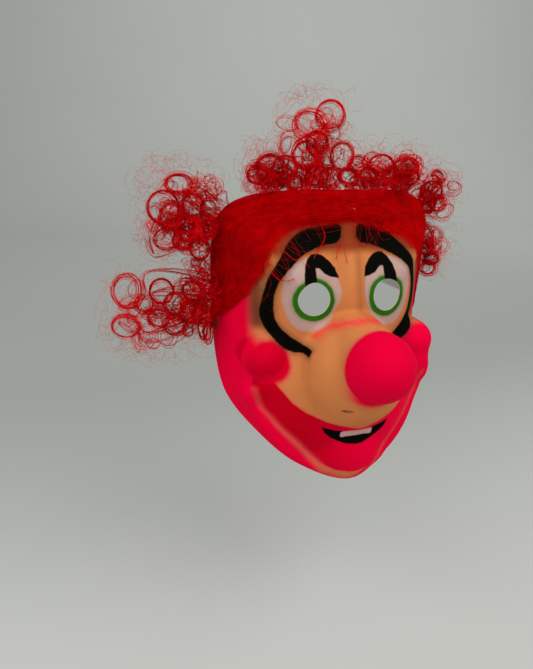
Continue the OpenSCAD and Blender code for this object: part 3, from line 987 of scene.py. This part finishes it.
def make_tuft(node, material):
    body, seed, turns, rings, loose, fly, clouds = TUFTS[node]
    rng = np.random.default_rng(seed)
    lo, size = tuft_box(node)
    roots, ways = band_roots(np.linspace(*turns, ROOTS))
    groups = ring_locks(rng, rings, lo, size, roots, ways)
    groups += loose_locks(rng, loose, lo, size, roots, ways)
    for across, up, wide, tall, count in clouds:
        centre = lo + size * (across, 0.5, up)
        reach = np.array([wide, 0.6 * min(wide, tall) + 3, tall])
        groups.append(arcs(rng, centre, reach, count, *SHORT_CURLS))
    groups.append(arcs(rng, lo + size / 2, size * 0.62 + 4, fly, *FLYAWAYS))
    groups = [keep_near(group, lo - STRAY, lo + size + STRAY) for group in groups]
    for k, part in enumerate(share_out(groups)):
        name = f"{node}_hair_{k + 1}"
        piece = new_object(name, tube_mesh(name, part), material)
        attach(piece, body)
        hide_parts(node)


# ---- Hair combed flat on the mask ----
# Where its inner and outer edges lie: out at each turn on the wearer's right, then on the left
MAT_EDGE = [
    (-0.575, 0.999), (-0.55, 0.985), (-0.534, 0.955), (-0.496, 0.895), (-0.456, 0.85), (-0.398, 0.83),
    (-0.318, 0.845), (-0.244, 0.875), (-0.156, 0.918), (-0.094, 0.935), (-0.034, 0.938), (0.02, 0.938),
    (0.092, 0.93), (0.196, 0.893), (0.272, 0.86), (0.36, 0.86), (0.45, 0.88), (0.53, 0.93), (0.575, 0.98),
]
MAT_RIM = [
    (-0.575, 1.0), (-0.36, 1.0), (-0.31, 0.992), (-0.27, 0.987), (-0.19, 0.987), (-0.14, 0.992),
    (-0.11, 1.0), (0.575, 1.0),
]
# The turn at which the combed hair ends on each temple
MAT_END = 0.565
MATS = {
    # node: first turn, last turn, seed, strands
    "forehead_hair": (-0.225, 0.225, 21, 2000),
    "right_temple_hair": (-0.56, -0.215, 22, 2300),
    "left_temple_hair": (0.215, 0.56, 23, 1500),
}


def mat_edge(turn, line=MAT_EDGE):
    return np.interp(turn, *zip(*line))


def mat_rim(turn):
    return mat_edge(turn, MAT_RIM)


def mat_height(out):
    """How high the hair stands: enough to bury the tape and its stitching."""
    return 1.3 + 1.0 * smoothstep(0.925, 0.942, out) - 1.1 * smoothstep(0.988, 1.0, out)


def mat_sheet(name, first, last, material):
    """The felted underside of the hair: a thin layer with a ragged inner edge."""
    rng = np.random.default_rng(5)
    columns, rows = 220, 18
    turn = np.linspace(first, last, columns)
    ragged = np.interp(turn, np.linspace(first, last, 70), rng.normal(0, 0.006, 70))
    rim = mat_rim(turn)
    inner = np.minimum(mat_edge(turn) + ragged + 0.012, rim - 0.002)
    down = np.linspace(0, 1, rows)[:, None]
    out = inner + (rim - inner) * down
    turn = np.broadcast_to(turn, out.shape)
    lump = 0.12 * np.sin(turn * 110 + 9 * down) + 0.1 * np.sin(turn * 61 - 7 * down)
    height = (mat_height(out) + lump) * np.minimum(1, down * 4 + 0.15)
    upper = above_face(out, turn, height)
    lower = above_face(out, turn, np.full(out.shape, 0.12))
    points = np.vstack([upper.reshape(-1, 3), lower.reshape(-1, 3)])
    i, j = np.meshgrid(np.arange(rows - 1), np.arange(columns - 1), indexing="ij")
    a, b, c, e = i * columns + j, (i + 1) * columns + j, (i + 1) * columns + j + 1, i * columns + j + 1
    top = np.stack([a, b, c, e], -1).reshape(-1, 4)
    count = rows * columns
    ring = np.concatenate([
        np.arange(columns - 1), np.arange(rows - 1) * columns + columns - 1,
        (rows - 1) * columns + np.arange(columns - 1, 0, -1), np.arange(rows - 1, 0, -1) * columns,
    ])
    after = np.roll(ring, -1)
    border = np.stack([ring, after, after + count, ring + count], -1)
    mesh = new_mesh(name, to_metres(points), np.vstack([top, top[:, ::-1] + count, border]))
    store(mesh, "tone", np.full(len(points), 0.3))
    return new_object(name, mesh, material)


def combed_strands(rng, first, last, strands):
    """Fine hairs that sweep over the mask along the band and thin out towards the brow."""
    rows = 15
    t = np.linspace(0, 1, rows)
    middle = rng.uniform(first, last, strands)
    length = rng.uniform(0.05, 0.16, strands)
    side = np.where(middle < 0, -1.0, 1.0)
    turn = middle[:, None] + side[:, None] * length[:, None] * (t - 0.5)
    turn = np.clip(turn, -MAT_END, MAT_END)
    start = rng.uniform(-0.12, 1.0, strands)
    lean = rng.normal(-0.25, 0.4, strands)
    wave = 0.03 * np.sin(t * rng.uniform(3, 9, (strands, 1)) + rng.uniform(0, 6.3, (strands, 1)))
    share = np.clip(start[:, None] + lean[:, None] * (t - 0.5) * 0.5 + wave, -0.3, 1.0)
    inner, rim = mat_edge(turn), mat_rim(turn)
    out = np.minimum(inner + (rim - inner) * share, 1.0)
    bulge = np.sin(math.pi * np.clip(t, 0.04, 0.96)) ** 0.5
    height = mat_height(out) - 0.1 + rng.gamma(2.0, 0.17, strands)[:, None] * bulge
    height = height * np.clip(0.45 + 4 * (share + 0.05), 0.35, 1)
    paths = above_face(out, turn, height) + wander(rng, strands, rows, 0.10)
    tone = np.clip(rng.normal(0.5, 0.14, strands), 0, 1)
    radius = rng.uniform(0.07, 0.12, strands)
    return paths, radius, tone, face_normal(out[:, rows // 2], turn[:, rows // 2])


def brow_wisps(rng, first, last, strands, reach):
    """Fine hairs that stray past the inner edge and lie over the brow."""
    rows = 22
    t = np.linspace(0, 1, rows)
    turn0 = rng.uniform(first, last, strands)
    turn = turn0[:, None] + rng.normal(0, 0.07, (strands, 1)) * t
    turn = turn + 0.006 * np.sin(t * rng.uniform(3, 8, (strands, 1)) + rng.uniform(0, 6.3, (strands, 1)))
    down = rng.uniform(0.2, 1.0, (strands, 1)) ** 1.5 * reach
    out = mat_edge(turn) + 0.02 - down * np.sin(t * rng.uniform(1.6, 3.0, (strands, 1)))
    height = 0.7 + rng.uniform(0.2, 1.6, (strands, 1)) * np.sin(math.pi * t)
    paths = above_face(out, turn, height) + wander(rng, strands, rows, 0.3, 2.0)
    radius = rng.uniform(0.045, 0.075, strands)
    tone = rng.uniform(0.3, 0.8, strands)
    return paths, radius, tone, face_normal(out[:, 9], turn[:, 9])


# Where fine hairs stray over the brow
WISP_TURNS = (-0.36, 0.13)
WISPS = 26
WISP_REACH = 0.19
# Single locks that hang over the brow, as out and turn along each
BROW_LOCKS = [
    [(0.934, -0.066), (0.905, -0.062), (0.879, -0.066), (0.844, -0.088), (0.787, -0.136)],
    [(0.828, -0.242), (0.804, -0.236), (0.778, -0.232), (0.785, -0.196)],
    [(0.790, -0.356), (0.766, -0.366), (0.740, -0.366), (0.719, -0.338), (0.712, -0.298)],
    [(0.936, 0.062), (0.917, 0.082), (0.901, 0.108), (0.903, 0.138), (0.915, 0.146)],
    [(0.868, -0.024), (0.825, -0.020), (0.742, -0.022)],
    [(0.861, -0.032), (0.818, -0.040), (0.780, -0.050)],
]


def brow_lock(rng, points):
    """A few hairs together along a smooth line through these points."""
    points = np.array(points)
    strands, rows = 5, 26
    along = np.linspace(0, len(points) - 1, rows)
    whole = np.arange(len(points))
    out, turn = (np.interp(along, whole, points[:, k]) for k in (0, 1))
    for _ in range(6):
        out[1:-1] = (out[:-2] + 2 * out[1:-1] + out[2:]) / 4
        turn[1:-1] = (turn[:-2] + 2 * turn[1:-1] + turn[2:]) / 4
    line = above_face(out, turn, 1.0 + 1.2 * np.sin(math.pi * np.linspace(0, 1, rows)))
    paths = line + rng.normal(0, 0.16, (strands, 1, 3)) + wander(rng, strands, rows, 0.12)
    facing = np.broadcast_to(face_normal(out[9], turn[9]), (strands, 3))
    return paths, np.full(strands, 0.10), rng.uniform(0.7, 1.0, strands), facing


def make_mat(node, strand_material, felt_material):
    first, last, seed, strands = MATS[node]
    rng = np.random.default_rng(seed)
    groups = [combed_strands(rng, first, last, strands)]
    if first < WISP_TURNS[1]:
        from_turn, to_turn = max(first, WISP_TURNS[0]), min(last, WISP_TURNS[1])
        groups.append(brow_wisps(rng, from_turn, to_turn, WISPS, WISP_REACH))
    groups += [brow_lock(rng, lock) for lock in BROW_LOCKS if first <= lock[0][1] < last]
    piece = new_object(node + "_strands", tube_mesh(node + "_strands", groups), strand_material)
    felt = mat_sheet(node + "_felt", first, last, felt_material)
    for made in (piece, felt):
        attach(made, "mask")
    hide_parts(node)
    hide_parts(node)


# ---- Staples ----
WIRE_R = 0.35
WIRE_SIDES = 10
STAPLE_HALF = 4.0
STAPLE_LEG = 5.9


def staple_path(half, leg, bend=0.7):
    """Half of a staple's centre line, from the middle of its crown to the end of its clinched leg."""
    quarter = np.linspace(0, math.pi / 2, 7)
    corner = np.stack([half - bend + bend * np.sin(quarter), -bend + bend * np.cos(quarter)], -1)
    foot = np.stack([half - bend + bend * np.cos(quarter), -leg + bend - bend * np.sin(quarter)], -1)
    return np.vstack([[(0, 0)], corner, foot, [(0.9, -leg + 0.25)]])


def make_staple(node, across, inward, lift, material):
    """across is the crown's direction and inward the legs'. lift moves it outwards."""
    lo, hi = (np.array(corner) / MM - EYE_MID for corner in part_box(node))
    across, inward = unit(np.array(across, float)), unit(np.array(inward, float))
    top = (lo + hi) / 2 - inward * (STAPLE_LEG / 2 + lift)
    flat = staple_path(STAPLE_HALF, STAPLE_LEG)
    line = np.vstack([flat[::-1] * (-1, 1), flat[1:]])
    path = top + line[:, :1] * across - line[:, 1:] * inward
    tangent = unit(np.gradient(path, axis=0))
    side = unit(np.cross(across, inward))
    other = np.cross(tangent, side)
    a = 2 * math.pi * np.arange(WIRE_SIDES) / WIRE_SIDES
    ring = side * np.cos(a)[:, None] + other[:, None] * np.sin(a)[:, None]
    points = (path[:, None] + WIRE_R * ring).reshape(-1, 3)
    mesh = mixed_mesh(node + "_wire", points, tube_faces(len(path), WIRE_SIDES))
    piece = new_object(node + "_wire", mesh, material)
    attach(piece, "mask")
    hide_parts(node)


# ---- Elastic ----
STRAP_THICKNESS = 1.0
STRAP_HALF_WIDTH = 3.2
RIB_PITCH = 1.6
RIB_DEPTH = 0.28
# One side of the elastic's section, from edge to edge: across in half widths and out in mm
STRAP_PROFILE = [
    (-1.0, 0.0), (-0.96, 0.36), (-0.86, 0.46), (-0.74, 0.30), (-0.4, 0.34), (0, 0.34), (0.4, 0.34),
    (0.74, 0.30), (0.86, 0.46), (0.96, 0.36), (1.0, 0.0),
]


def strap_line():
    """The elastic's centre line in mm in the row frame, from one stapled end round to the other."""
    hi = np.array(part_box("strap_loop")[1]) / MM
    end_lo = np.array(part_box("right_strap_end")[0]) / MM
    r = hi[0] - STRAP_THICKNESS / 2
    back = hi[1] - STRAP_THICKNESS / 2 - r
    a = np.linspace(0, math.pi, 400)
    arc = np.stack([r * np.cos(a), back + r * np.sin(a)], -1)
    straight = np.linspace(end_lo[1], back, 120)[:-1]
    side = np.stack([np.full(len(straight), r), straight], -1)
    return np.vstack([side, arc, (side * (-1, 1))[::-1]])


def make_strap(material):
    """A flat ribbed elastic with corded edges, stapled inside each temple."""
    path = strap_line()
    along = np.cumsum(np.linalg.norm(np.diff(path, axis=0, prepend=path[:1]), axis=1))
    rows = int(along[-1] / (RIB_PITCH / 4))
    even = np.linspace(0, along[-1], rows)
    line = np.stack([np.interp(even, along, path[:, 0]), np.interp(even, along, path[:, 1])], -1)
    tangent = unit(np.gradient(line, axis=0))
    outward = np.stack([tangent[:, 1], -tangent[:, 0]], -1)
    rib = 0.5 + 0.5 * np.cos(2 * math.pi * even / RIB_PITCH)
    section = STRAP_PROFILE + [(u, -v) for u, v in STRAP_PROFILE[-2:0:-1]]
    points = []
    for u, v in section:
        ribbed = v * (1 - RIB_DEPTH * rib * (abs(u) < 0.8))
        flat = line + outward * ribbed[:, None]
        points.append(np.column_stack([flat, np.full(rows, u * STRAP_HALF_WIDTH)]))
    points = np.stack(points, 1).reshape(-1, 3) - EYE_MID
    faces = [face[:1] + face[:0:-1] for face in tube_faces(rows, len(section))]
    mesh = mixed_mesh("elastic_strap", points, faces)
    piece = new_object("elastic_strap", mesh, material)
    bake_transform(piece)
    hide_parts("strap_loop", "right_strap_end", "left_strap_end")


# ---- Stage and light ----
FLOOR_Z = -0.263
FLOOR_HALF = 5.0
SWEEP_START = 2.2
SWEEP_R = 1.6


def make_floor():
    """A pale floor that curves up into a plain backdrop a long way behind."""
    sweep = []
    for a in np.linspace(0, math.pi / 2, 24):
        sweep.append((SWEEP_START + SWEEP_R * math.sin(a), FLOOR_Z + SWEEP_R * (1 - math.cos(a))))
    profile = [(-3.0, FLOOR_Z), (0.0, FLOOR_Z)] + sweep + [(SWEEP_START + SWEEP_R, 4.5)]
    points = [(x, y, z) for y, z in profile for x in (-FLOOR_HALF, FLOOR_HALF)]
    faces = [(2 * i, 2 * i + 1, 2 * i + 3, 2 * i + 2) for i in range(len(profile) - 1)]
    material, tree, shader = new_material("floor")
    far = add(tree, "ShaderNodeSeparateXYZ", {"Vector": object_place(tree)}).outputs["Y"]
    near_colour = mix(tree, noise(tree, 3.0), (0.60, 0.61, 0.59, 1), (0.63, 0.64, 0.62, 1))
    far_colour = mix(tree, noise(tree, 3.0), (0.41, 0.42, 0.40, 1), (0.43, 0.44, 0.42, 1))
    link(tree, mix(tree, ramp(tree, far, -0.15, 0.5), near_colour, far_colour), shader.inputs["Base Color"])
    shader.inputs["Roughness"].default_value = 0.9
    shader.inputs["Specular IOR Level"].default_value = 0.1
    floor = new_object("floor", new_mesh("floor", points, faces), material)


def area_light(name, place, aim, size, watts, colour=(1, 1, 1)):
    data = bpy.data.lights.new(name, "AREA")
    data.shape = "RECTANGLE"
    data.size, data.size_y = size
    data.energy = watts
    data.color = colour
    light = bpy.data.objects.new(name, data)
    light.location = place
    light.rotation_euler = (Vector(aim) - Vector(place)).to_track_quat("-Z", "Y").to_euler()
    bpy.context.scene.collection.objects.link(light)


def make_light():
    area_light("key", (0.60, -0.85, 1.15), (0, -0.03, 0), (1.3, 1.3), 13.5, (1.0, 0.99, 0.97))
    area_light("fill", (-1.1, -0.5, 0.9), (0, 0, 0), (1.4, 1.4), 11, (1.0, 0.99, 0.97))
    area_light("backdrop_light", (1.9, 1.2, 2.4), (2.0, 3.8, 0.9), (4.5, 1.2), 75)
    world = bpy.data.worlds.new("studio")
    world.use_nodes = True
    background = world.node_tree.nodes["Background"]
    background.inputs["Color"].default_value = (0.90, 0.94, 0.92, 1)
    background.inputs["Strength"].default_value = 0.38
    bpy.context.scene.world = world
    bpy.context.scene.view_settings.view_transform = "Standard"


def make_hair():
    curls = hair_material("curly_hair", (0.44, 0.0, 0.001, 1), (1.0, 0.001, 0.006, 1), 0.5)
    combed = hair_material("combed_hair", (0.50, 0.0, 0.001, 1), (0.88, 0.0, 0.002, 1), 0.6)
    felt = hair_material("hair_felt", (0.40, 0.0, 0.001, 1), (0.68, 0.0, 0.002, 1), 0.8)
    for node in TUFTS:
        make_tuft(node, curls)
    for node in MATS:
        make_mat(node, combed, felt)


def make_staples():
    steel = steel_material()
    make_staple("right_staple", (0, 1, 0), (1, 0, 0), 2.0, steel)
    make_staple("left_staple", (0, 1, 0), (-1, 0, 0), 2.0, steel)
    make_staple("crown_staple", (0.95, -0.1, -0.3), (0, 0.91, -0.42), -0.45, steel)


def dress_tape():
    """The tape and its stitching keep their CAD shapes and get woven materials."""
    tape = weave_material("weft_tape", (0.30, 0.0, 0.001, 1), (0.62, 0.0, 0.003, 1), 500.0, 0.6)
    thread = weave_material("thread", (0.36, 0.0, 0.001, 1), (0.66, 0.0, 0.003, 1), 900.0, 0.4)
    for node, material in (("weft_band", tape), ("weft_thread", thread)):
        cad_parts[node].data.materials.clear()
        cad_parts[node].data.materials.append(material)


def main():
    make_camera()
    make_shell()
    make_hair()
    make_staples()
    make_strap(weave_material("elastic", (0.50, 0.49, 0.46, 1), (0.86, 0.85, 0.82, 1), 420.0, 0.5))
    dress_tape()
    make_floor()
    make_light()


main()
